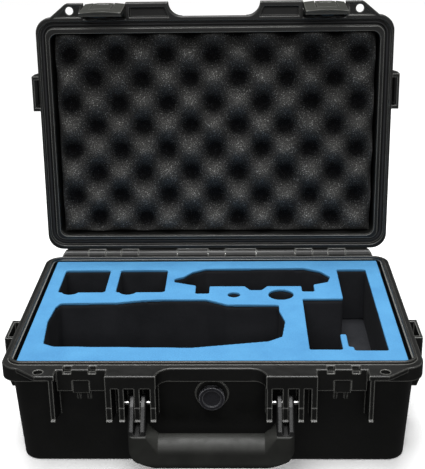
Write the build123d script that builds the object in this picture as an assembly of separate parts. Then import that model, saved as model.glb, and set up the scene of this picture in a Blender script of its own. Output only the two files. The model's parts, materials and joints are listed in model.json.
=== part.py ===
"""Hard carrying case for a folding camera drone, with cut foam, drawn with its lid standing open.

Millimetres. X runs to the right, Y to the back and Z up. The origin is the centre of the flat bottom
that the case stands on. Everything on the lid is drawn shut, and is then swung open about the hinge.
"""
from build123d import *
import math
import os

# ---------------------------------------------------------------- driving dimensions
RIM_HALF_W = 181.0          # half width over the rim
RIM_FRONT = 123.5           # origin to the rim's front edge, at the middle
RIM_BACK = 122.0            # origin to the rim's back edge
FRONT_FACE = 137.4          # origin to the front of the handle blocks and corner ears
BASE_H = 102.0              # height of the base's mating face
LID_H = 50.0                # height of the shut lid above that face
SEAM = 0.4                  # gap between the mating faces when shut
WALL = 3.0                  # wall of both mouldings
PLATE = 4.0                 # thickness of the rim's plate and ears
FLOOR = 3.0                 # bottom of the base, top of the lid
EDGE_R = 1.0                # rounding of the outer edges round both mating faces
LIP_EDGE_R = 0.7            # rounding of the lip between the seal and the inside of the lid

BASE_HALF_W = (171.5, 175.8)        # outside of the base at its bottom and under its rim
BASE_HALF_D = (107.3, 111.6)
BASE_CORNER = (17.0, 16.0)
BASE_FOOT_R = 2.0                   # rounding under the base
COLLAR_Z = 89.2                     # underside of the base's rim
COLLAR_FLOOR = 3.5                  # thickness of the step inside the rim
MOUTH_HALF_W = 172.0                # opening inside the base's rim
MOUTH_HALF_D = 112.3
MOUTH_R = 8.0

LID_HALF_W = (171.3, 169.1)         # outside of the lid above its rim and at its top
LID_HALF_D = (111.6, 109.4)
LID_CORNER = (16.0, 15.0)

SEAL_HALF_W = 174.7                 # centre line of the seal
SEAL_FRONT = 115.8
SEAL_BACK = 114.3
SEAL_R = 12.0
TONGUE_W = 3.0                      # ridge on the base that presses on the seal
TONGUE_H = 2.8
CORD_W = 3.4                        # seal cord
CORD_H = 2.3
GROOVE_W = 6.9                      # groove in the lid that holds it
GROOVE_H = 5.0

HINGE_Y = RIM_BACK + 6.2
HINGE_Z = BASE_H - 0.6
HINGE_R = 5.8
ROD_R = 2.0
RUN = 0.06                          # radial clearance of a turning fit
PRESS = 0.02                        # radial clearance of a fixed pin, drawn clear of its hole
KNUCKLE_ENDS = (9.1, 42.3, 84.0, 102.4, 119.2, 137.5, 162.0)
KNUCKLE_GAP = 0.4
LID_RIM_H = 7.6                     # height of the lid's rim
LID_OPEN = 94.0                     # degrees the lid stands open against its stop

BAY = (89.2, 131.6)                 # latch bay, from the middle of the case
BLOCK_INNER = 46.4                  # handle block, from here to the bay
SCALLOP_R = 14.0                    # hollow curve between the block and the middle of the rim
EAR_HOLE = (146.0, -129.8)
EAR_HOLE_R = 4.0
NOTCHES = ((98.0, 104.0), (119.0, 125.6))
NOTCH_Y = -118.7                    # back of the notches, which are as deep as the rim's plate
BAY_Y = -125.7
BAY_Z = 81.5
CATCH_X = (104.0, 118.4)
CATCH_Z = (78.8, 91.4)
CATCH_Y = -124.5
CATCH_EDGE_R = 0.5

RIBS = ((46.8, 51.4), (60.1, 65.05), (73.5, 78.1), (84.2, 89.2))
EAR_RIB = (132.8, 136.5)
RIB_FOOT = 58.7                     # lower end of the ribs
RIB_STEP = 72.0                     # below this the block's ribs stand a little prouder
RIB_PROUD = 0.35

HANDLE_PIVOT = (-130.0, 73.0)       # y and z
HANDLE_PIN_R = 2.2
ARM_X = (54.9, 69.9)                # each arm of the handle, from the middle of the case
GRIP_Y = -143.0
GRIP_Z = (20.0, 54.0)               # bottom of the grip, and the seam where its rubber starts
GRIP_TOP = 48.0                     # upper edge of the hand hole
GRIP_DEPTH = 24.0
HAND_HALF_W = 45.0                  # half width of the hand hole at the grip
GRIP_EDGE_R = (8.0, 11.0)           # rounding under the grip and along its top
GRIP_SHOULDER_R = 1.5               # rounding of the shoulders that the arms stand on
GRIP_END_R = 5.0                    # rounding of the grip's ends, seen from above
ARM_EDGE_R = 1.8
SLOT_Z = 57.2                       # centre of the round bottom of each arm's slot

LATCH_X = (89.8, 131.0)
LATCH_MID = 110.4
LATCH_PIVOT = (-128.0, 110.0)
LATCH_PIN_R = 2.0
BARREL_R = 6.0
LATCH_Z = (66.0, 115.5)
LATCH_FACE = -136.4                 # crest of the latch's crowned face
LATCH_BACK = -133.9                 # back of its front plate
LATCH_LEAN = 9.0                    # degrees that a shut latch's front leans in towards its free end
LATCH_REST = 3.5                    # degrees that the hanging latches stand off the latched position
CROWN_R = 147.0
TRIGGER_X = (101.5, 121.5)
TRIGGER_PIVOT = (-129.6, 94.0)
TRIGGER_PIN_R = 1.2
SLIT = 0.9                          # gap on both sides of the trigger

VALVE_Z = 70.3
VALVE_R = 11.2                      # over the knurls of its knob
KNURLS = 40
VALVE_DISH_R = 7.9                  # shallow dish in the knob's face
FOAM_HALF_W = 169.0                 # cut layer and its skin
FOAM_LOW_HALF_W = 168.0             # the two plain layers below them
FOAM_COLUMNS = {"left": (-180, -46), "middle": (-46, 81), "right": (81, 180)}
FOAM_ROWS = {"front": (-120, 22), "back": (22, 120)}
FOAM_HALF_D = 110.4
FOAM_TOP = 101.0
SKIN = 3.0                          # coloured sheet on top of the cut foam
PAD = 6.0                           # plain pad on the floor of the base
POCKET_DEPTH = 58.0                 # cut layer with its skin, and so how deep every pocket is


# ---------------------------------------------------------------- helpers
def block(x0, x1, y0, y1, z0, z1):
    """Box between two corners."""
    return Pos((x0 + x1) / 2, (y0 + y1) / 2, (z0 + z1) / 2) * Box(x1 - x0, y1 - y0, z1 - z0)


def rod(x0, x1, y, z, radius):
    """Cylinder along X."""
    return Pos((x0 + x1) / 2, y, z) * Rot(0, 90, 0) * Cylinder(radius, x1 - x0)


def post(x, y, z0, z1, radius):
    """Cylinder along Z."""
    return Pos(x, y, (z0 + z1) / 2) * Cylinder(radius, z1 - z0)


def slab(half_w, front, back, radius, z0, z1):
    """Rounded rectangle from y = -front to y = back, between two heights."""
    outline = RectangleRounded(2 * half_w, front + back, radius)
    return extrude(Pos(0, (back - front) / 2, z0) * outline, z1 - z0)


def ring(half_w, front, back, radius, width, z0, z1):
    """Closed band of a given width about a rounded rectangle's centre line."""
    w = width / 2
    outer = slab(half_w + w, front + w, back + w, radius + w, z0, z1)
    return outer - slab(half_w - w, front - w, back - w, radius - w, z0 - 1, z1 + 1)


def tapered(half_w, half_d, radius, z0, z1):
    """Rounded box that widens from its lower outline to its upper one."""
    low = Pos(0, 0, z0) * RectangleRounded(2 * half_w[0], 2 * half_d[0], radius[0])
    high = Pos(0, 0, z1) * RectangleRounded(2 * half_w[1], 2 * half_d[1], radius[1])
    return loft([low, high])


def prism_z(points, z0, z1):
    """Straight-sided outline in the XY plane, raised between two heights."""
    return extrude(Pos(0, 0, z0) * make_face(Polyline(*points, close=True)), z1 - z0)


def prism_x(points, x0, x1):
    """Outline given as (y, z) points, drawn out along X."""
    face = make_face(Polyline(*[(x0, y, z) for y, z in points], close=True))
    return extrude(face, x1 - x0, dir=(1, 0, 0))


def prism_y(points, y0, y1):
    """Outline given as (x, z) points, drawn out along Y."""
    face = make_face(Polyline(*[(x, y0, z) for x, z in points], close=True))
    return extrude(face, y1 - y0, dir=(0, 1, 0))


def mirrored(shape):
    """The same shape on the other side of the case."""
    return mirror(shape, about=Plane.YZ)


def both(shape):
    """A shape and its mirror image, as one."""
    return shape + mirrored(shape)


def ear_plate(z0, z1):
    """Corner ear with its chamfered outline."""
    points = [(BAY[1], -112), (BAY[1], -FRONT_FACE), (148, -FRONT_FACE), (150.5, -136.2),
              (166, -123.4), (177, -114.9), (RIM_HALF_W, -106.9), (RIM_HALF_W, -98), (160, -98)]
    return prism_z(points, z0, z1)


def handle_block(z0, z1):
    """Plan of the block between a latch bay and the middle, with its hollow inner curve."""
    inner = BLOCK_INNER - SCALLOP_R
    plan = block(inner, BAY[0], -FRONT_FACE, -115, z0, z1)
    return plan - post(inner, -RIM_FRONT - SCALLOP_R, z0 - 1, z1 + 1, SCALLOP_R)


def knuckles(first, web):
    """Every second hinge knuckle from the middle out, with its web to the rim between two heights."""
    half = KNUCKLE_GAP / 2
    edges = (-KNUCKLE_ENDS[0],) + KNUCKLE_ENDS
    made = None
    for i in range(first, len(edges) - 1, 2):
        x0, x1 = edges[i] + half, edges[i + 1] - half
        one = rod(x0, x1, HINGE_Y, HINGE_Z, HINGE_R)
        one += block(x0, x1, RIM_BACK - 1, HINGE_Y, *web)
        one = one if i == 0 else both(one)
        made = one if made is None else made + one
    return made


def hinge_end():
    """Slanted end of the base's outermost knuckle."""
    x0, x1, low = KNUCKLE_ENDS[-1] - 1, KNUCKLE_ENDS[-1] + 5, HINGE_Z - HINGE_R
    cone = rod(x0, x1, HINGE_Y, HINGE_Z, HINGE_R) + block(x0, x1, RIM_BACK - 1, HINGE_Y, low, HINGE_Z)
    return cone & prism_y([(x0, low), (x1, low), (x1, HINGE_Z - 2), (x0 + 1, HINGE_Z + HINGE_R),
                           (x0, HINGE_Z + HINGE_R)], RIM_BACK - 2, HINGE_Y + HINGE_R + 1)


# ---------------------------------------------------------------- base moulding
def base_rim():
    collar = slab(174.5, 115, 115, 11, COLLAR_Z, BASE_H)
    skirt = slab(RIM_HALF_W, RIM_FRONT, RIM_BACK, 16, COLLAR_Z, BASE_H)
    skirt -= slab(RIM_HALF_W - WALL, RIM_FRONT - WALL, RIM_BACK - WALL, 13, COLLAR_Z - 1, BASE_H + 1)
    plate = slab(RIM_HALF_W, RIM_FRONT, RIM_BACK, 16, BASE_H - PLATE, BASE_H)
    fascia_z = 90.0
    blocks = handle_block(fascia_z, BASE_H)
    blocks -= block(49.4, BAY[0] - WALL, 3 - FRONT_FACE, -RIM_FRONT, fascia_z - 1, BASE_H - PLATE)
    bay = block(BAY[0], BAY[1], BAY_Y, WALL - RIM_FRONT, BAY_Z, BASE_H)
    bay -= block(CATCH_X[0], CATCH_X[1], BAY_Y - 1, CATCH_Y, BAY_Z - 1, CATCH_Z[1])
    front = blocks + ear_plate(BASE_H - PLATE, BASE_H) + bay
    rim = collar + skirt + plate + both(front)
    notches = None
    for x0, x1 in NOTCHES:
        notch = block(x0, x1, BAY_Y - 1, NOTCH_Y, BASE_H - PLATE, BASE_H + 1)
        notches = notch if notches is None else notches + notch
    rim -= both(notches)
    return fillet(rim.faces().sort_by(Axis.Z)[-1].outer_wire().edges(), EDGE_R)


def base_ribs():
    """Ribs that carry the handle pins and brace the ears, each with a toe and some with a prouder lower half."""
    made = None
    for x0, x1 in RIBS + (EAR_RIB,):
        proud = FRONT_FACE + (0 if (x0, x1) == EAR_RIB else RIB_PROUD)
        profile = [(-108, BASE_H - PLATE), (-FRONT_FACE, BASE_H - PLATE), (-FRONT_FACE, RIB_STEP),
                   (-proud, RIB_STEP - 0.7), (-proud, RIB_FOOT + 1.6), (-FRONT_FACE - 1.7, RIB_FOOT + 0.6),
                   (-FRONT_FACE - 1.7, RIB_FOOT), (-108, RIB_FOOT - 9)]
        rib = prism_x(profile, x0, x1)
        made = rib if made is None else made + rib
    return both(made)


def strap_loop(z0, z1, foot):
    """Moulded loop on the side of the case that takes a flat webbing strap."""
    front, back, cheek, skin = -64.0, -28.0, 3.6, 2.5
    low, high = (z0, z1) if foot < 0 else (z1, z0)
    tip = low + (9 if foot < 0 else -9)
    outline = [(168, low), (185.5, low), (188.5, tip), (188.5, high), (168, high)]
    hole = [(160, low - 1), (185.5 - skin, low - 1), (188.5 - skin, tip), (188.5 - skin, high + 1), (160, high + 1)]
    if foot > 0:
        hole = [(160, low + 1), (185.5 - skin, low + 1), (188.5 - skin, tip), (188.5 - skin, high - 1), (160, high - 1)]
    return prism_y(outline, front, back) - prism_y(hole, front + cheek, back - cheek)


def make_base():
    tub = tapered(BASE_HALF_W, BASE_HALF_D, BASE_CORNER, 0, COLLAR_Z + 2)
    tub = fillet(tub.faces().sort_by(Axis.Z)[0].edges(), BASE_FOOT_R)
    boss_y = BASE_HALF_D[1] + 0.6
    boss = Pos(0, -boss_y / 2, VALVE_Z) * Rot(90, 0, 0) * Cylinder(14.2, boss_y)
    catch = block(CATCH_X[0], CATCH_X[1], CATCH_Y, -105, *CATCH_Z)
    catch = fillet(catch.edges().filter_by(Axis.X).group_by(Axis.Z)[0].sort_by(Axis.Y)[0], CATCH_EDGE_R)
    for x0 in (105.5, 114.5):
        catch += prism_x([(-117, CATCH_Z[0]), (-109, 62), (-105, 62), (-105, CATCH_Z[0])], x0, x0 + 2.5)
    loops = both(strap_loop(51, BASE_H - 2, -1))
    loops -= tapered(BASE_HALF_W, BASE_HALF_D, BASE_CORNER, 0, COLLAR_Z + 2)
    loops -= slab(RIM_HALF_W - 1, RIM_FRONT, RIM_BACK, 16, COLLAR_Z, BASE_H)
    ribs = base_ribs() + both(catch) + boss
    body = tub + ribs + base_rim() + loops
    inner_w = [w - WALL for w in BASE_HALF_W]
    inner_d = [d - WALL for d in BASE_HALF_D]
    cavity = tapered(inner_w, inner_d, [r - WALL for r in BASE_CORNER], FLOOR, COLLAR_Z + 2)
    cavity += slab(MOUTH_HALF_W, MOUTH_HALF_D, MOUTH_HALF_D, MOUTH_R, COLLAR_Z + COLLAR_FLOOR, BASE_H + 1)
    cavity += slab(MOUTH_HALF_W, inner_d[1], inner_d[1], 13, COLLAR_Z - 1, BASE_H)
    body -= cavity
    tongue = ring(SEAL_HALF_W, SEAL_FRONT, SEAL_BACK, SEAL_R, TONGUE_W, BASE_H - 1, BASE_H + TONGUE_H)
    tongue = fillet(tongue.faces().sort_by(Axis.Z)[-1].edges(), 1.0)
    body += tongue
    body += knuckles(0, (HINGE_Z - HINGE_R, HINGE_Z)) + both(hinge_end())
    body -= rod(-KNUCKLE_ENDS[-1], KNUCKLE_ENDS[-1], HINGE_Y, HINGE_Z, ROD_R + PRESS)
    pins = rod(RIBS[0][0] + 0.4, RIBS[2][1] - 0.4, *HANDLE_PIVOT, HANDLE_PIN_R + PRESS)
    holes = post(*EAR_HOLE, BASE_H - PLATE - 1, BASE_H + 1, EAR_HOLE_R)
    body -= both(pins + holes)
    body -= Pos(0, -100, VALVE_Z) * Rot(90, 0, 0) * Cylinder(6.05, 40)
    feet = [Pos(x, y, 0) * Cylinder(9, 1.6) for x in (-140, 140) for y in (-82, 82)]
    for socket in feet:
        body -= socket
    return body


# ---------------------------------------------------------------- lid moulding, drawn shut
def lid_rim(low):
    """Rim with its ears and handle blocks, each hollowed from the mating face, and rounded edges."""
    top, edge = low + 12, 3.0
    rim = slab(RIM_HALF_W, RIM_FRONT, RIM_BACK, 16, low, low + LID_RIM_H)
    rim += both(ear_plate(low, low + PLATE) + handle_block(low, top))
    rim -= both(block(BAY[0], BAY[1], -140, -121.3, low - 1, top))
    rim = fillet(rim.faces().sort_by(Axis.Z)[0].outer_wire().edges(), EDGE_R)
    pocket = [(BAY[1] + edge, -123.3), (BAY[1] + edge, -FRONT_FACE + edge), (147, -FRONT_FACE + edge),
              (160.5, -123.3)]
    hollows = prism_z(pocket, low - 1, low + 2.2)
    side = [(BAY[0] - 4, -123), (BAY[0] - 4, -132.6), (50.0, -132.6), (45.8, -123)]
    hollows += prism_z(side, low - 1, top - 3)
    hollows += post(*EAR_HOLE, low - 1, low + PLATE + 1, EAR_HOLE_R)
    return rim - both(hollows)


def latch_cheeks(low):
    """Cheeks on both sides of each latch bay that carry the latch pin, and a bar above them."""
    width, radius = 4.0, 6.4
    pivot_y, pivot_z = LATCH_PIVOT
    cheeks = None
    for x0, x1 in ((BAY[0] - width, BAY[0]), (BAY[1], BAY[1] + width)):
        cheek = rod(x0, x1, pivot_y, pivot_z, radius) + block(x0, x1, pivot_y - radius, -110, low + 2.2, pivot_z)
        cheek += block(x0, x1, pivot_y, -110, low + 2.2, pivot_z + radius)
        cheeks = cheek if cheeks is None else cheeks + cheek
    bar = block(BAY[0] - width, BAY[1] + width, -121.9, -109, pivot_z + 8.6, pivot_z + 11)
    return both(cheeks + bar)


def make_lid():
    low = BASE_H + SEAM
    top = BASE_H + LID_H
    pan = tapered(LID_HALF_W, LID_HALF_D, LID_CORNER, low + PLATE, top)
    pan = fillet(pan.faces().sort_by(Axis.Z)[-1].edges(), 7)
    loops = both(strap_loop(low + 2, low + 27, 1))
    loops -= tapered(LID_HALF_W, LID_HALF_D, LID_CORNER, low + PLATE, top)
    loops -= slab(RIM_HALF_W - 1, RIM_FRONT, RIM_BACK, 16, low, low + LID_RIM_H)
    inner_w = (167.3, LID_HALF_W[1] - WALL)
    inner_d = (107.4, LID_HALF_D[1] - WALL)
    groove = ring(SEAL_HALF_W, SEAL_FRONT, SEAL_BACK, SEAL_R, GROOVE_W, low - 1, low + GROOVE_H)
    inside = tapered(inner_w, inner_d, (8, 10), low - 0.01, top - FLOOR)
    rim = lid_rim(low) - groove - slab(inner_w[0], inner_d[0], inner_d[0], 8, low - 1, low + 20)
    lips = [f for f in rim.faces().filter_by(Plane.XY) if abs(f.center().Z - low) < 0.01]
    inner_lip = min(lips, key=lambda f: f.area)
    rim = fillet(inner_lip.edges(), LIP_EDGE_R)
    body = rim + pan + latch_cheeks(low) + loops
    body -= inside + groove
    body -= both(rod(BAY[0] - 3.4, BAY[1] + 3.4, *LATCH_PIVOT, LATCH_PIN_R + PRESS))
    panel = slab(120, 66, 66, 12, top - 1.2, top + 1)
    panel -= slab(117, 63, 63, 10, top - 2, top + 2)
    body -= panel
    for x in (-140, 140):
        for y in (-82, 82):
            body += Pos(x, y, top) * Cylinder(8.4, 1.2)
    hinge_half = KNUCKLE_ENDS[-1]
    body += knuckles(1, (low, HINGE_Z + HINGE_R))
    body += block(-hinge_half, hinge_half, RIM_BACK - 1, HINGE_Y + 1.3, HINGE_Z + HINGE_R + 0.4, low + LID_RIM_H)
    body -= rod(-KNUCKLE_ENDS[-1], KNUCKLE_ENDS[-1], HINGE_Y, HINGE_Z, ROD_R + RUN)
    return body


def make_seal():
    low = BASE_H + SEAM + GROOVE_H - CORD_H
    cord = ring(SEAL_HALF_W, SEAL_FRONT, SEAL_BACK, SEAL_R, CORD_W, low, low + CORD_H)
    return fillet(cord.faces().sort_by(Axis.Z)[0].edges(), 1.6)


# ---------------------------------------------------------------- handle
def grip_section(x, top, top_r):
    """Section of the grip at a given x, with rounded corners."""
    front, back, low = GRIP_Y - GRIP_DEPTH / 2, GRIP_Y + GRIP_DEPTH / 2, GRIP_Z[0]
    face = make_face(Polyline((x, front, low), (x, back, low), (x, back, top), (x, front, top), close=True))
    face = fillet([v for v in face.vertices() if v.Z < low + 1], GRIP_EDGE_R[0])
    return fillet([v for v in face.vertices() if v.Z > top - 1], top_r)


def make_grip():
    """Soft grip with a round-topped bar, shoulders under the arms and a swept-up underside."""
    low, seam = GRIP_Z
    hand = grip_section(-HAND_HALF_W, GRIP_TOP, GRIP_EDGE_R[1])
    shoulder_inner = grip_section(HAND_HALF_W, GRIP_TOP, GRIP_EDGE_R[1])
    shoulder_outer = grip_section(ARM_X[0], seam, GRIP_SHOULDER_R)
    shoulder = loft([shoulder_inner, shoulder_outer]) + extrude(shoulder_outer, ARM_X[1] - ARM_X[0], dir=(1, 0, 0))
    side = [(ARM_X[1], seam + 1), (ARM_X[1], 38), (65, 30), (43, low)]
    sheet = make_face(Polyline(*side, *[(-x, z) for x, z in reversed(side)], close=True))
    sheet = fillet([v for v in sheet.vertices() if v.Y < low + 1], 22)
    sheet = fillet([v for v in sheet.vertices() if low + 1 < v.Y < seam and abs(v.X) > 62], 7)
    front_view = Pos(0, GRIP_Y, 0) * extrude(Plane.XZ * sheet, GRIP_DEPTH, both=True)
    plan = Pos(0, GRIP_Y, low - 1) * RectangleRounded(2 * ARM_X[1], GRIP_DEPTH, GRIP_END_R)
    return (extrude(hand, 2 * HAND_HALF_W, dir=(1, 0, 0)) + both(shoulder)) & front_view & extrude(plan, seam)


def make_handle():
    """Stiff frame with its core bar, and the soft grip moulded over it."""
    seam = GRIP_Z[1]
    core_y = (GRIP_Y - 5, GRIP_Y + 5)
    core = block(-60, 60, *core_y, 28, 38) + both(block(56, 61, *core_y, 28, seam))
    return arms() + core - both(rod(50, 75, *HANDLE_PIVOT, HANDLE_PIN_R + RUN)), make_grip() - core


def arms():
    """The two forked arms, with rounded edges and a round-ended slot in each."""
    x0, x1 = ARM_X
    front, back, seam = GRIP_Y - GRIP_DEPTH / 2, GRIP_Y + GRIP_DEPTH / 2, GRIP_Z[1]
    pivot_y, pivot_z = HANDLE_PIVOT
    profile = [(front + 1.5, seam), (front + 2.5, 58), (-146, 65), (-139.5, 74), (pivot_y - 2, pivot_z + 7.4),
               (pivot_y + 3, pivot_z + 7), (pivot_y + 7, pivot_z), (pivot_y, pivot_z - 7), (back - 3, 58),
               (back - 1.5, seam)]
    arm = prism_x(profile, x0, x1)
    arm = fillet(arm.edges().filter_by(Plane.YZ).filter_by(lambda e: e.center().Z > seam + 0.5), ARM_EDGE_R)
    middle, half = (x0 + x1) / 2, 3.1
    arm -= block(middle - half, middle + half, front - 1, -100, SLOT_Z, 90)
    arm -= Pos(middle, -130, SLOT_Z) * Rot(90, 0, 0) * Cylinder(half, 60)
    return both(arm)


# ---------------------------------------------------------------- latches, drawn shut on the right
def crowned(x0, x1, z0, z1, face, back):
    """Plate across the latch with a face that is slightly arched from side to side."""
    plate = block(x0, x1, face, back, z0, z1)
    return plate & post(LATCH_MID, face + CROWN_R, z0 - 1, z1 + 1, CROWN_R)


def leaned(shape):
    """From an upright latch front to one that leans in towards its free end."""
    return turned(shape, LATCH_LEAN, *LATCH_PIVOT)


def make_latch_body():
    x0, x1 = LATCH_X
    low, top = LATCH_Z
    pivot_y, pivot_z = LATCH_PIVOT
    t0, t1 = TRIGGER_X[0] - SLIT, TRIGGER_X[1] + SLIT
    plate = crowned(x0, x1, low, top, LATCH_FACE, LATCH_BACK)
    plate -= block(t0, t1, LATCH_FACE - 1, LATCH_BACK + 1, 80, top + 1)
    for side0, side1 in ((x0, t0), (t1, x1)):
        plate += block(side0, side1, LATCH_BACK - 0.5, pivot_y, pivot_z, pivot_z + 5.2)
    body = leaned(plate) + rod(x0, x1, pivot_y, pivot_z, BARREL_R)
    body -= block(t0, t1, LATCH_FACE - 1, pivot_y + 1, pivot_z - BARREL_R, top + 1)
    for cheek in (x0, x1 - 2):
        body += prism_x([(-128.4, low + 1), (-124.2, low + 2), (-124.2, 79), (-126.6, 82), (-126.6, 100),
                         (pivot_y, pivot_z), (-134.5, pivot_z), (-130.5, 82)], cheek, cheek + 2)
    body += block(x0, x1, -128.6, -124.6, low + 1, low + 3)
    for claw0, claw1 in ((98.8, t0), (t1, 124.8)):
        body += prism_x([(-131, 84), (-126.4, 84), (-126.4, 98.9), (-122.6, 99.9), (-122.6, 101.5), (-132, 105)],
                        claw0, claw1)
    body -= rod(x0 - 1, x1 + 1, pivot_y, pivot_z, LATCH_PIN_R + RUN)
    body -= rod(98, 126, *TRIGGER_PIVOT, TRIGGER_PIN_R + PRESS)
    return body


def make_trigger():
    x0, x1 = TRIGGER_X
    pivot_y, pivot_z = TRIGGER_PIVOT
    tab = crowned(x0, x1, 80.6, 113.5, LATCH_FACE, LATCH_BACK)
    for i in range(3):
        z = 104.5 + 2.6 * i
        tab += block(x0 + 3.5, x1 - 3.5, LATCH_FACE - 0.5, LATCH_FACE + 1, z, z + 1.1)
    arm = prism_x([(-126.6, 75.3), (-126.6, 79.5), (-129.4, 90), (-132.4, 90), (-132.4, 95.5), (-127.2, 95.5),
                   (-127.2, 90), (-125.2, 80), (-125.2, 78.3), (-123.2, 78.3), (-123.2, 76.9), (-125.2, 75.3)],
                  105.6, 117.6)
    hub = rod(102, 107, pivot_y, pivot_z, 3.2) + rod(116, 121, pivot_y, pivot_z, 3.2)
    trigger = leaned(tab) + arm + hub
    trigger -= rod(107, 116, pivot_y, pivot_z, 3.3)
    return trigger - rod(100, 123, pivot_y, pivot_z, TRIGGER_PIN_R + RUN)


def make_spring():
    """Torsion spring round the trigger pin, with one leg on the latch and one on the trigger."""
    wire, coil, turns, pitch = 0.35, 2.3, 6, 0.95
    pivot_y, pivot_z = TRIGGER_PIVOT
    path = Helix(pitch, pitch * turns, coil)
    start = path @ 0
    section = Plane(origin=start, z_dir=path % 0) * Circle(wire)
    spring = sweep(section, path=path)
    return Pos(LATCH_MID + 1.1 - pitch * turns / 2, pivot_y, pivot_z) * Rot(0, 90, 0) * spring


# ---------------------------------------------------------------- pressure valve
def make_valve():
    """Body with its flange and thread, knurled knob, membrane, sealing ring and the nut inside."""
    seat = BASE_HALF_D[1] + 0.6
    inside = BASE_HALF_D[0] - WALL

    def disc(y0, y1, radius):
        return Pos(0, -(y0 + y1) / 2, VALVE_Z) * Rot(90, 0, 0) * Cylinder(radius, y1 - y0)

    body = disc(inside - 5.2, seat + 5.0, 6.0) + disc(seat + 1.0, seat + 2.2, 9.4)
    body -= disc(inside - 6, seat + 3.0, 4.2)
    body -= disc(seat + 2, seat + 6, 2.2)
    knob = disc(seat + 2.5, seat + 8.5, VALVE_R - 0.5) - disc(seat + 2.4, seat + 5.3, 6.0 + RUN)
    knob -= disc(seat + 6.9, seat + 9, VALVE_DISH_R)
    for i in range(KNURLS):
        angle = 2 * math.pi * i / KNURLS
        x, z = (VALVE_R - 0.46) * math.cos(angle), (VALVE_R - 0.46) * math.sin(angle)
        knob += Pos(x, -(seat + 5.5), VALVE_Z + z) * Rot(90, 0, 0) * Cylinder(0.46, 5.4)
    membrane = disc(seat + 2.2, seat + 2.6, 4.1)
    oring = Pos(0, -(seat + 0.5), VALVE_Z) * Rot(90, 0, 0) * Torus(7.6, 0.5)
    nut = Pos(0, -(inside - 2.6), VALVE_Z) * Rot(90, 0, 0) * extrude(RegularPolygon(9.0, 6), 4.4)
    nut -= disc(inside - 10, inside + 3, 6.0)
    return body, knob, membrane, oring, nut


# ---------------------------------------------------------------- foam
def outline(points, radius):
    """Closed outline with rounded corners."""
    face = make_face(Polyline(*points, close=True))
    return fillet(face.vertices(), radius)


def foam_pockets():
    """Outlines of everything cut through the upper foam layer, as one flat shape."""
    drone = [(-149, 8.5), (-95, 9.5), (-70, 15), (-50, 16.5), (-8, 16.4), (12, 4.6), (62, 3.8),
             (62, -11), (66.5, -32), (62.5, -63), (50, -72), (-18, -84), (-141, -81.3), (-151, -76),
             (-155, -31.6), (-152.5, 0)]
    controller = [(-27.2, 51.3), (-41.5, 57), (-41.5, 66), (-32.5, 70.5), (-23.8, 83), (-10.7, 91.2), (90.5, 92.5),
                  (107, 84), (116.5, 69), (113, 56), (98.3, 50), (98.3, 33.4), (86.3, 33.4), (86.3, 46.5), (52, 46.5),
                  (46, 37), (35, 37), (29.5, 46.5), (-5.8, 46.5), (-5.8, 29.3), (-19.3, 29.3), (-19.3, 48.5)]
    charger = [(125, 88), (125, 17.2), (85.5, 17.2), (85.5, -87.7), (114.7, -87.7), (114.7, -58.6), (120.5, -58.6),
               (120.5, -82.6), (125, -82.6), (125, -89.6), (154.5, -89.6), (154.5, 88)]
    cuts = [outline(drone, 3), outline(controller, 2), outline(charger, 2)]
    for x0, x1 in ((-156.0, -109.5), (-98.5, -50.0)):
        battery = Pos((x0 + x1) / 2, 60.5) * RectangleRounded(x1 - x0, 55, 3)
        cuts.append(battery + Pos(x0 + 12, 36) * Circle(8.5))
    for x, y, radius in ((18.7, 26.7, 6.1), (65.0, 26.8, 12.2)):
        cuts.append(Pos(x, y) * Circle(radius))
    return cuts


def make_foam():
    """Floor pad, plain base layer, blocks of the cut layer and the coloured skin on top of them."""
    clear = 0.3
    slope = (BASE_HALF_D[1] - BASE_HALF_D[0]) / (COLLAR_Z + 2)

    def fitted(half_w, z0, z1):
        depths = [BASE_HALF_D[0] - WALL - clear + slope * (z - FLOOR) for z in (z0, z1)]
        return tapered((half_w, half_w), depths, [r - WALL for r in BASE_CORNER], z0, z1)

    base_low, cut_low, skin_low = FLOOR + PAD, FOAM_TOP - POCKET_DEPTH, FOAM_TOP - SKIN
    room = Pos(0, -(BASE_HALF_D[0] - WALL), VALVE_Z) * Rot(90, 0, 0) * Cylinder(12, 14)
    cut_layer = fitted(FOAM_HALF_W, cut_low, skin_low) - room
    skin = slab(FOAM_HALF_W, FOAM_HALF_D, FOAM_HALF_D, 2, skin_low, FOAM_TOP)
    for face in foam_pockets():
        hole = extrude(Pos(0, 0, cut_low - 1) * face, POCKET_DEPTH + 5)
        cut_layer -= hole
        skin -= hole
    pad, base = fitted(FOAM_LOW_HALF_W, FLOOR, base_low), fitted(FOAM_LOW_HALF_W, base_low, cut_low)
    blocks = {}
    for row, (y0, y1) in FOAM_ROWS.items():
        for column, (x0, x1) in FOAM_COLUMNS.items():
            blocks[f"foam_cut_{row}_{column}"] = cut_layer & block(x0, x1, y0, y1, cut_low, skin_low)
    return pad, base, blocks, skin


def make_lid_foam():
    """Plain block with the size of the convoluted sheet glued in the lid."""
    low, top = BASE_H + SEAM + 5, BASE_H + LID_H - FLOOR - 0.1
    front = tapered((164.6, 164.0), (105.6, 105.0), (7, 8), low, top)
    return front


# ---------------------------------------------------------------- placing and writing
def turned(shape, degrees, y, z):
    """A shape turned about an axis along X through (y, z)."""
    return Pos(0, y, z) * Rot(degrees, 0, 0) * Pos(0, -y, -z) * shape


def on_lid(shape):
    """From the shut position to the open one that the case is drawn in."""
    return turned(shape, -LID_OPEN, HINGE_Y, HINGE_Z)


def on_latch(shape):
    """From latched to hanging free, on the open lid."""
    return on_lid(turned(shape, -LATCH_REST, *LATCH_PIVOT))


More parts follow.
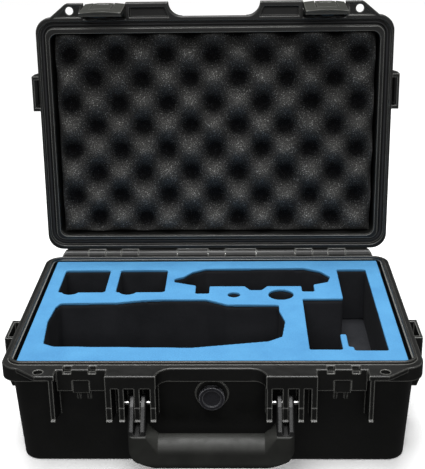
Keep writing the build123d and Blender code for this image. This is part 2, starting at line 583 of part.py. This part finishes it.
def main():
    handle_frame, handle_grip = make_handle()
    valve_body, valve_knob, valve_membrane, valve_oring, valve_nut = make_valve()
    foam_pad, foam_base, foam_cut, foam_skin = make_foam()
    handle_pin = rod(RIBS[0][0] + 0.5, RIBS[2][1] - 0.5, *HANDLE_PIVOT, HANDLE_PIN_R)
    latch_pin = rod(BAY[0] - 3.2, BAY[1] + 3.2, *LATCH_PIVOT, LATCH_PIN_R)
    trigger_pin = rod(98.8, 124.8, *TRIGGER_PIVOT, TRIGGER_PIN_R)
    parts = {
        "base_shell": make_base(),
        "hinge_rod": rod(-161.5, 161.5, HINGE_Y, HINGE_Z, ROD_R),
        "handle_frame": handle_frame,
        "handle_grip": handle_grip,
        "valve_body": valve_body,
        "valve_knob": valve_knob,
        "valve_membrane": valve_membrane,
        "valve_oring": valve_oring,
        "valve_nut": valve_nut,
        "foam_floor_pad": foam_pad,
        "foam_base_layer": foam_base,
        **foam_cut,
        "foam_blue_skin": foam_skin,
        "lid_shell": on_lid(make_lid()),
        "lid_seal": on_lid(make_seal()),
        "lid_foam": on_lid(make_lid_foam()),
    }
    paired = {
        "handle_pin": handle_pin,
        "latch_pin": on_lid(latch_pin),
        "latch_body": on_latch(make_latch_body()),
        "latch_trigger": on_latch(make_trigger()),
        "trigger_pin": on_latch(trigger_pin),
        "trigger_spring": on_latch(make_spring()),
    }
    for name, shape in paired.items():
        parts[name + "_right"] = shape
        parts[name + "_left"] = mirrored(shape)
    os.makedirs("parts", exist_ok=True)
    for name, shape in parts.items():
        export_step(shape, f"parts/{name}.step")


main()
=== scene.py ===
"""Looks of the drone carrying case: materials, cut foam, convoluted lid foam, light and camera."""
import json
import math

import bmesh
import bpy
from mathutils import Matrix, Vector, noise


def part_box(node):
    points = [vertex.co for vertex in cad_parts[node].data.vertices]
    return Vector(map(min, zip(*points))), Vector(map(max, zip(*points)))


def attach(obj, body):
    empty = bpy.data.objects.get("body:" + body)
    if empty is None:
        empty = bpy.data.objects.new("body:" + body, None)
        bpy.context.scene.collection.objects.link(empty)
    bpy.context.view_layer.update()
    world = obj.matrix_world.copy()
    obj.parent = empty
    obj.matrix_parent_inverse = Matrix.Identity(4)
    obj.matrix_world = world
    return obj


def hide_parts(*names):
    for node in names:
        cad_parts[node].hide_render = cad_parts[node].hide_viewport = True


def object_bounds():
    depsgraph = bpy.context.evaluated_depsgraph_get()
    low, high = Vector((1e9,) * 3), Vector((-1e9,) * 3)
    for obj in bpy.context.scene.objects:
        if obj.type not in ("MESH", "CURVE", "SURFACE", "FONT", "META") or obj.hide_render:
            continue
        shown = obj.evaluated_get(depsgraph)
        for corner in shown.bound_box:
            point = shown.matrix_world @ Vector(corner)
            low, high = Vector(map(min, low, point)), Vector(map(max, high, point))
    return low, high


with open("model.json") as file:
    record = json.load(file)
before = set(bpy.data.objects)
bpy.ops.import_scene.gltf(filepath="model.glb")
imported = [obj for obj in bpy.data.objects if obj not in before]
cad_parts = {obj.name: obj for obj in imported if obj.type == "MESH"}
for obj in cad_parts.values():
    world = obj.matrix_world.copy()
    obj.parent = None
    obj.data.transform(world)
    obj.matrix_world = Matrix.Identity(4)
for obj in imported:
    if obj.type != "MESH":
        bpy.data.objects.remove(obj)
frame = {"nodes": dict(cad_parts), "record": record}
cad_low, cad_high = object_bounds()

MM = 0.001
HEIGHT = "foam_height"   # mesh attribute of the convoluted foam, 0 in its hollows and 1 on its peaks
SEED = 7                 # fixes the offsets of noise_vector, which are drawn anew in each run without it
noise.seed_set(SEED)
joints = {j["name"]: j for j in frame["record"]["behaviour"]["joints"]}


def new_object(name, data):
    """An object of this data, in the scene."""
    made = bpy.data.objects.new(name, data)
    bpy.context.scene.collection.objects.link(made)
    return made


# ---------------------------------------------------------------- camera, light and floor
CAMERA_AT = Vector((24.11, -875.10, 520.12)) * MM
PITCH, YAW, ROLL = math.radians(21.52), math.radians(-1.62), math.radians(-0.85)
FOCAL_PX, IMAGE_HEIGHT = 1009.62, 469
SENSOR = 36.0
LIT_MIDDLE = (0, 0, 0.15)                 # the point of the case the softboxes face
SUN_STRENGTH, SUN_SPREAD = 2.6, math.radians(40)
SUN_HEADING = Vector((0.08, 0.22, -1))
SURROUND_LIGHT = 0.07                     # what the white surround gives, against 1 as the camera sees it
FLOOR_HALF = 6.0
FLOOR_GAP = 0.0002                        # keeps the case's flat bottom out of the floor


def add_camera():
    """The camera of the fit: where it stands, how it is turned, and its lens."""
    forward = Vector((math.sin(YAW) * math.cos(PITCH), math.cos(YAW) * math.cos(PITCH), -math.sin(PITCH)))
    right = Vector((math.cos(YAW), -math.sin(YAW), 0))
    up = right.cross(forward)
    turned_right = right * math.cos(ROLL) + up * math.sin(ROLL)
    turned_up = up * math.cos(ROLL) - right * math.sin(ROLL)
    data = bpy.data.cameras.new("camera")
    data.sensor_width = SENSOR
    data.lens = FOCAL_PX * SENSOR / IMAGE_HEIGHT
    camera = new_object("camera", data)
    axes = Matrix((turned_right, turned_up, -forward)).transposed()
    camera.matrix_world = Matrix.Translation(CAMERA_AT) @ axes.to_4x4()
    bpy.context.scene.camera = camera


def aimed(light, heading):
    """Turns a light so that it shines along a heading."""
    light.rotation_euler = heading.to_track_quat("-Z", "Y").to_euler()


def add_softbox(name, at, target, size, watts):
    """A rectangular light at a place, facing a target."""
    data = bpy.data.lights.new(name, "AREA")
    data.shape = "RECTANGLE"
    data.size, data.size_y = size
    data.energy = watts
    light = new_object(name, data)
    light.location = at
    aimed(light, Vector(target) - Vector(at))


def add_sun():
    """Broad, even light from high in front, which leaves only soft shadows."""
    data = bpy.data.lights.new("ceiling", "SUN")
    data.energy = SUN_STRENGTH
    data.angle = SUN_SPREAD
    aimed(new_object("ceiling", data), SUN_HEADING)


def add_studio():
    """Softboxes over and in front of the case, and a white surround that adds little light of its own."""
    add_sun()
    add_softbox("overhead", (0.0, 0.3, 1.5), LIT_MIDDLE, (1.0, 0.3), 16)
    add_softbox("front", (0.1, -2.3, 1.3), (0, 0.1, 0.25), (1.6, 0.8), 19)
    world = bpy.data.worlds.new("studio")
    world.use_nodes = True
    tree = world.node_tree
    surround = tree.nodes["Background"]
    surround.inputs["Color"].default_value = (1, 1, 1, 1)
    rays = tree.nodes.new("ShaderNodeLightPath")
    level = tree.nodes.new("ShaderNodeMapRange")
    level.inputs["To Min"].default_value = SURROUND_LIGHT
    level.inputs["To Max"].default_value = 1.0
    tree.links.new(rays.outputs["Is Camera Ray"], level.inputs["Value"])
    tree.links.new(level.outputs["Result"], surround.inputs["Strength"])
    bpy.context.scene.world = world
    bpy.context.scene.view_settings.view_transform = "Standard"


def add_floor():
    """A sheet of white paper that the camera and the case's shadow see, and that bounces no light back."""
    half = FLOOR_HALF
    mesh = bpy.data.meshes.new("floor")
    corners = [(-half, -half, 0), (half, -half, 0), (half, half, 0), (-half, half, 0)]
    mesh.from_pydata(corners, [], [(0, 1, 2, 3)])
    floor = new_object("floor", mesh)
    floor.location.z = cad_low.z - FLOOR_GAP
    mesh.materials.append(plain_paper())
    floor.visible_diffuse = False
    floor.visible_glossy = False


# ---------------------------------------------------------------- materials
EDGE_POLISH = 0.62       # roughness of worn edges against that of the faces
WEAR_AND_HIGHLIGHT_REACH = 1.8         # how far edge wear and the painted edge highlight reach from an edge, in bevel radii
WEAR_AND_HIGHLIGHT_TURN = (0.99, 0.90)     # cosines between bevelled and true normal where wear and the painted edge highlight start and are full
GRAIN_DEPTH, GRAIN_SCALE = 0.00003, 1500     # spark grain of the moulded plastic
PAPER_GLOW = 0.16        # lifts the far floor to the white of the surround; it lights nothing


class Nodes:
    """A new material's node tree, with short ways to add and join nodes."""

    def __init__(self, name):
        self.material = bpy.data.materials.new(name)
        self.material.use_nodes = True
        self.tree = self.material.node_tree
        self.shader = self.tree.nodes["Principled BSDF"]
        self.place = self.add("ShaderNodeTexCoord").outputs["Object"]

    def add(self, kind, **settings):
        node = self.tree.nodes.new(kind)
        for key, value in settings.items():
            setattr(node, key, value)
        return node

    def join(self, output, socket):
        self.tree.links.new(output, socket)

    def noise(self, scale, detail=3.0, roughness=0.55):
        node = self.add("ShaderNodeTexNoise")
        node.inputs["Scale"].default_value = scale
        node.inputs["Detail"].default_value = detail
        node.inputs["Roughness"].default_value = roughness
        self.join(self.place, node.inputs["Vector"])
        return node.outputs["Fac"]

    def cells(self, scale):
        """Distance from the middle of the nearest pore."""
        node = self.add("ShaderNodeTexVoronoi")
        node.inputs["Scale"].default_value = scale
        self.join(self.place, node.inputs["Vector"])
        return node.outputs["Distance"]

    def spread(self, value, from_low, from_high, to_low, to_high):
        """Stretches one range of a value over another, and holds it at the ends."""
        node = self.add("ShaderNodeMapRange")
        node.inputs["From Min"].default_value = from_low
        node.inputs["From Max"].default_value = from_high
        node.inputs["To Min"].default_value = to_low
        node.inputs["To Max"].default_value = to_high
        self.join(value, node.inputs["Value"])
        return node.outputs["Result"]

    def product(self, first, second):
        node = self.add("ShaderNodeMath", operation="MULTIPLY")
        self.join(first, node.inputs[0])
        self.join(second, node.inputs[1])
        return node.outputs["Value"]

    def scaled(self, colour, factor):
        node = self.add("ShaderNodeVectorMath", operation="SCALE")
        self.join(colour, node.inputs[0])
        self.join(factor, node.inputs["Scale"])
        return node.outputs["Vector"]

    def blend(self, factor, first, second):
        """Mixes two colours; either is a colour or another node's output."""
        node = self.add("ShaderNodeMix", data_type="RGBA")
        self.join(factor, node.inputs["Factor"])
        for name, colour in (("A", first), ("B", second)):
            socket = next(s for s in node.inputs if s.name == name and s.type == "RGBA")
            if isinstance(colour, tuple):
                socket.default_value = (*colour, 1)
            else:
                self.join(colour, socket)
        return next(s for s in node.outputs if s.type == "RGBA")

    def bevelled(self, radius):
        """The face normal, turned smoothly over edges within this radius."""
        node = self.add("ShaderNodeBevel", samples=6)
        node.inputs["Radius"].default_value = radius
        return node.outputs["Normal"]

    def worn_and_highlit_edges(self, radius):
        """The bevelled normal, and a mask that is 1 along edges and the small curves between faces: it
        smooths the worn edges and carries the painted edge highlight.
        """
        dot = self.add("ShaderNodeVectorMath", operation="DOT_PRODUCT")
        self.join(self.bevelled(WEAR_AND_HIGHLIGHT_REACH * radius), dot.inputs[0])
        self.join(self.add("ShaderNodeNewGeometry").outputs["Normal"], dot.inputs[1])
        return self.bevelled(radius), self.spread(dot.outputs["Value"], *WEAR_AND_HIGHLIGHT_TURN, 0, 1)

    def bump(self, height, distance, normal=None):
        node = self.add("ShaderNodeBump")
        node.inputs["Distance"].default_value = distance
        self.join(height, node.inputs["Height"])
        if normal is not None:
            self.join(normal, node.inputs["Normal"])
        return node.outputs["Normal"]

    def finish(self, colour, normal, roughness, **constants):
        """Joins everything to the shader; constants name its other sockets, with _ for a space."""
        self.join(colour, self.shader.inputs["Base Color"])
        self.join(normal, self.shader.inputs["Normal"])
        self.join(roughness, self.shader.inputs["Roughness"])
        for name, value in constants.items():
            self.shader.inputs[name.replace("_", " ")].default_value = value
        return self.material


def times(colour, factor):
    return tuple(factor * channel for channel in colour)


def moulded(name, colour, edge_highlight, roughness, bevel=0.0009, specular=0.5):
    """Textured black plastic: fine spark grain, faint mottling, a painted highlight that makes its edges
    paler, and smoother worn edges.
    """
    n = Nodes(name)
    normal, edge = n.worn_and_highlit_edges(bevel)
    mottled = n.spread(n.noise(22), 0.3, 0.7, 0, 1)
    shade = n.blend(mottled, times(colour, 0.82), times(colour, 1.2))
    speck = n.spread(n.noise(900, 2), 0.35, 0.7, 0.75, 1.3)
    # painted highlight: the edge mask pales the colour toward the edge highlight colour
    highlit_tone = n.blend(edge, n.scaled(shade, speck), edge_highlight)
    grainy = n.spread(n.noise(60), 0.3, 0.7, roughness - 0.05, roughness + 0.06)
    polish = n.spread(edge, 0, 1, 1.0, EDGE_POLISH)
    rough = n.product(grainy, polish)
    grained = n.bump(n.noise(GRAIN_SCALE, 2), GRAIN_DEPTH, normal)
    return n.finish(highlit_tone, grained, rough, Specular_IOR_Level=specular)


def rubber(name, colour, roughness):
    """Matte black rubber, a little dusty."""
    n = Nodes(name)
    normal = n.bevelled(0.0008)
    dusty = n.spread(n.noise(45, 5), 0.35, 0.75, 0, 1)
    shade = n.blend(dusty, colour, times(colour, 1.6))
    rough = n.spread(n.noise(120), 0.3, 0.7, roughness - 0.06, roughness + 0.08)
    return n.finish(shade, n.bump(n.noise(1100, 2), 0.00002, normal), rough, Specular_IOR_Level=0.45)


def steel(name):
    """Bright steel with fine turning marks."""
    n = Nodes(name)
    streaks = n.add("ShaderNodeMapping")
    streaks.inputs["Scale"].default_value = (30, 900, 900)
    n.join(n.place, streaks.inputs["Vector"])
    lines = n.add("ShaderNodeTexNoise")
    lines.inputs["Scale"].default_value = 1.0
    n.join(streaks.outputs["Vector"], lines.inputs["Vector"])
    tone = n.blend(n.spread(lines.outputs["Fac"], 0.3, 0.7, 0, 1), (0.55, 0.55, 0.54), (0.8, 0.8, 0.79))
    rough = n.spread(lines.outputs["Fac"], 0.3, 0.7, 0.16, 0.3)
    return n.finish(tone, n.bump(lines.outputs["Fac"], 0.00001), rough, Metallic=1.0)


def closed_cell(name, colour, pale, pores=1400):
    """Closed-cell foam: matte, finely pitted, with soft mottling."""
    n = Nodes(name)
    mottled = n.spread(n.noise(35, 4), 0.3, 0.7, 0, 1)
    shade = n.blend(mottled, colour, pale)
    pits = n.cells(pores)
    dark = n.spread(pits, 0.1, 0.6, 1.05, 0.86)
    rough = n.spread(n.noise(200), 0.3, 0.7, 0.78, 0.92)
    return n.finish(n.scaled(shade, dark), n.bump(pits, 0.00008), rough, Specular_IOR_Level=0.3)


def open_cell(name):
    """Charcoal polyurethane foam: open pores with painted glints on their rims, and painted shade that
    makes it darker in its hollows and lighter on its peaks.
    """
    n = Nodes(name)
    height = n.add("ShaderNodeAttribute", attribute_name=HEIGHT).outputs["Fac"]
    # painted shade: the foam's height turns the hollows near black and the peaks pale grey
    shade = n.blend(n.spread(height, 0.16, 0.95, 0, 1), (0.003, 0.003, 0.0034), (0.100, 0.098, 0.094))
    pores = n.cells(1050)
    glint = n.spread(n.noise(900, 2, 0.6), 0.58, 0.70, 0, 1)
    # painted glints, brighter on the peaks than in the hollows
    lit_glint = n.blend(n.spread(height, 0.1, 0.9, 0, 1), (0.05, 0.05, 0.055), (0.62, 0.62, 0.60))
    speckled = n.blend(glint, shade, lit_glint)
    deep = n.spread(pores, 0.15, 0.65, 1.1, 0.5)
    rough = n.spread(n.noise(300), 0.3, 0.7, 0.85, 1.0)
    return n.finish(n.scaled(speckled, deep), n.bump(pores, 0.0004), rough, Specular_IOR_Level=0.2)


def plain_paper():
    """White paper for the floor, which stands on the stage and is no part of the case."""
    n = Nodes("paper")
    tone = n.blend(n.spread(n.noise(3), 0.3, 0.7, 0, 1), (0.93, 0.93, 0.93), (0.95, 0.95, 0.95))
    rough = n.spread(n.noise(50), 0.3, 0.7, 0.85, 0.95)
    return n.finish(tone, n.bump(n.noise(400), 0.00005), rough, Emission_Strength=PAPER_GLOW)


# the second colour of each moulded plastic is the painted highlight along its edges
SHELL = moulded("shell_plastic", (0.0070, 0.0071, 0.0066), (0.24, 0.24, 0.225), 0.38)
HANDLE = moulded("handle_plastic", (0.008, 0.008, 0.008), (0.05, 0.05, 0.05), 0.34)
LATCH = moulded("latch_plastic", (0.030, 0.031, 0.026), (0.11, 0.11, 0.10), 0.42, specular=0.45)
VALVE = moulded("valve_plastic", (0.020, 0.020, 0.024), (0.20, 0.20, 0.215), 0.34,
                bevel=0.0004, specular=0.45)
SEAL = rubber("seal_rubber", (0.016, 0.016, 0.017), 0.55)
GRIP = rubber("grip_rubber", (0.017, 0.0175, 0.0155), 0.58)
STEEL = steel("polished_steel")
BLUE = closed_cell("blue_foam", (0.070, 0.262, 0.510), (0.088, 0.312, 0.575))
DARK = closed_cell("dark_foam", (0.012, 0.013, 0.016), (0.02, 0.021, 0.025), 1100)
EGG_CRATE = open_cell("convoluted_foam")
MEMBRANE = closed_cell("membrane", (0.05, 0.05, 0.05), (0.07, 0.07, 0.07), 3000)

NODE_MATERIALS = {
    "base_shell": SHELL,
    "lid_shell": SHELL,
    "lid_seal": SEAL,
    "hinge_rod": STEEL,
    "handle_frame": HANDLE,
    "handle_grip": GRIP,
    "valve_body": SHELL,
    "valve_nut": SHELL,
    "valve_knob": VALVE,
    "valve_membrane": MEMBRANE,
    "valve_oring": SEAL,
}
for side in ("left", "right"):
    for part in ("handle_pin", "latch_pin", "trigger_pin", "trigger_spring"):
        NODE_MATERIALS[f"{part}_{side}"] = STEEL
    NODE_MATERIALS[f"latch_body_{side}"] = LATCH
    NODE_MATERIALS[f"latch_trigger_{side}"] = LATCH


def paint(piece, material):
    piece.data.materials.clear()
    piece.data.materials.append(material)


# ---------------------------------------------------------------- cut foam in the base
NEAR = 0.00002           # how close a vertex lies to the side of its block to be on it
SAME_SIDE = 0.003        # blocks whose sides differ by less than this share the layer's outer side
OVERLAP = 0.0005         # how far each block is pushed into its neighbours
WAVER, WAVER_SCALE = 0.00012, 55     # how far cut foam strays from true, and how often


def joined_nodes(nodes):
    """CAD blocks that stand side by side, as one mesh, each pushed a little way into its neighbours."""
    boxes = [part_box(node) for node in nodes]
    lows = [min(low[i] for low, high in boxes) for i in range(3)]
    highs = [max(high[i] for low, high in boxes) for i in range(3)]
    mesh = bmesh.new()
    for node, (low, high) in zip(nodes, boxes):
        first = len(mesh.verts)
        mesh.from_mesh(frame["nodes"][node].data)
        mesh.verts.ensure_lookup_table()
        for vertex in mesh.verts[first:]:
            for i in (0, 1):
                if abs(vertex.co[i] - low[i]) < NEAR and low[i] > lows[i] + SAME_SIDE:
                    vertex.co[i] -= OVERLAP
                elif abs(vertex.co[i] - high[i]) < NEAR and high[i] < highs[i] - SAME_SIDE:
                    vertex.co[i] += OVERLAP
    data = bpy.data.meshes.new(nodes[0])
    mesh.to_mesh(data)
    return data, lows, highs


def soft_copy(name, nodes, voxel, material):
    """A foam layer as real foam: cut edges a little rounded, and faces not quite true."""
    mesh, low, high = joined_nodes(nodes)
    piece = new_object(name, mesh)
    remesh = piece.modifiers.new("remesh", "REMESH")
    remesh.mode = "VOXEL"
    remesh.voxel_size = voxel
    relax = piece.modifiers.new("relax", "SMOOTH")
    relax.factor = 0.5
    relax.iterations = 2
    view = bpy.context.evaluated_depsgraph_get()
    made = bpy.data.meshes.new_from_object(piece.evaluated_get(view))
    piece.modifiers.clear()
    piece.data = made
    for vertex in made.vertices:
        moved = vertex.co + noise.noise_vector(vertex.co * WAVER_SCALE) * WAVER
        vertex.co = [min(max(moved[i], low[i]), high[i]) for i in range(3)]
    made.shade_smooth()
    paint(piece, material)
    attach(piece, "base")
    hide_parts(*nodes)


# ---------------------------------------------------------------- convoluted foam in the lid
EGG_PITCH = 50.0         # from one hollow to the next in the same row
EGG_DEPTH = 14.5         # from the tops of the peaks to the floors of the hollows
EGG_START_X = -151.0     # a hollow's place across the lid
EGG_START_Y = -33.0      # the same hollow's row, with the lid shut
EGG_STEP = 1.6           # grid of the modelled surface
EGG_INSET = 0.3          # keeps the modelled sheet inside the plain one
EGG_EDGE = 3.0           # strip along the sides whose face falls away
EGG_EDGE_FALL = 1.2


def shut_to_open():
    """Matrix from the shut lid, where the foam's sizes are plain, to the open one at rest."""
    hinge = joints["lid_hinge"]
    at = Vector(hinge["pos_m"])
    turn = Matrix.Rotation(-math.radians(hinge["range_deg"][1]), 4, Vector(hinge["axis"]))
    return Matrix.Translation(at) @ turn @ Matrix.Translation(-at)


def egg_height(x, y):
    """0 on the floor of a hollow and 1 on top of a peak, at a point in millimetres."""
    wobble = noise.noise_vector(Vector((x, y, 0)) / 38) * 2.2
    across = math.cos(2 * math.pi * (x + wobble.x - EGG_START_X) / EGG_PITCH)
    along = math.cos(2 * math.pi * (y + wobble.y - EGG_START_Y) / EGG_PITCH)
    level = 0.5 - 0.5 * across * along
    return level + 0.035 * noise.noise(Vector((x, y, 7)) / 14)


def convoluted_foam():
    """One closed sheet: moulded face down, flat back against the lid, sides cut straight."""
    to_shut = shut_to_open().inverted()
    points = [to_shut @ v.co / MM for v in frame["nodes"]["lid_foam"].data.vertices]
    lows = [min(p[i] for p in points) for i in range(3)]
    highs = [max(p[i] for p in points) for i in range(3)]
    columns = round((highs[0] - lows[0]) / EGG_STEP)
    rows = round((highs[1] - lows[1]) / EGG_STEP)
    mesh = bmesh.new()
    level = mesh.verts.layers.float.new(HEIGHT)
    face_side = []
    back_side = []
    for r in range(rows + 1):
        face_row = []
        back_row = []
        for c in range(columns + 1):
            x = lows[0] + EGG_INSET + (highs[0] - lows[0] - 2 * EGG_INSET) * c / columns
            y = lows[1] + EGG_INSET + (highs[1] - lows[1] - 2 * EGG_INSET) * r / rows
            rim = min(c, r, columns - c, rows - r) * EGG_STEP
            rounding = EGG_EDGE_FALL * max(0.0, 1 - rim / EGG_EDGE) ** 2
            height = egg_height(x, y)
            z = lows[2] + (1 - height) * EGG_DEPTH + rounding + EGG_INSET
            face_row.append(mesh.verts.new((x, y, max(z, lows[2]))))
            face_row[-1][level] = height
            back_row.append(mesh.verts.new((x, y, highs[2])))
        face_side.append(face_row)
        back_side.append(back_row)
    for r in range(rows):
        for c in range(columns):
            f, b = face_side, back_side
            mesh.faces.new((f[r][c], f[r + 1][c], f[r + 1][c + 1], f[r][c + 1]))
            mesh.faces.new((b[r][c], b[r][c + 1], b[r + 1][c + 1], b[r + 1][c]))
    border = [(0, c) for c in range(columns)] + [(r, columns) for r in range(rows)]
    border += [(rows, c) for c in range(columns, 0, -1)] + [(r, 0) for r in range(rows, 0, -1)]
    for (r0, c0), (r1, c1) in zip(border, border[1:] + border[:1]):
        mesh.faces.new((face_side[r0][c0], face_side[r1][c1], back_side[r1][c1], back_side[r0][c0]))
    mesh.transform(shut_to_open() @ Matrix.Scale(MM, 4))
    bmesh.ops.recalc_face_normals(mesh, faces=mesh.faces)
    data = bpy.data.meshes.new("lid_egg_crate")
    mesh.to_mesh(data)
    data.shade_smooth()
    piece = new_object("lid_egg_crate", data)
    paint(piece, EGG_CRATE)
    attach(piece, "lid")
    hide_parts("lid_foam")


for node_name, node_material in NODE_MATERIALS.items():
    paint(frame["nodes"][node_name], node_material)

CUT_NODES = sorted(name for name in frame["nodes"] if name.startswith("foam_cut_"))
soft_copy("blue_skin", ["foam_blue_skin"], 0.0009, BLUE)
soft_copy("cut_layer", CUT_NODES, 0.0014, DARK)
soft_copy("plain_layer", ["foam_base_layer"], 0.003, DARK)
soft_copy("floor_pad", ["foam_floor_pad"], 0.003, DARK)
convoluted_foam()
add_camera()
add_studio()
add_floor()
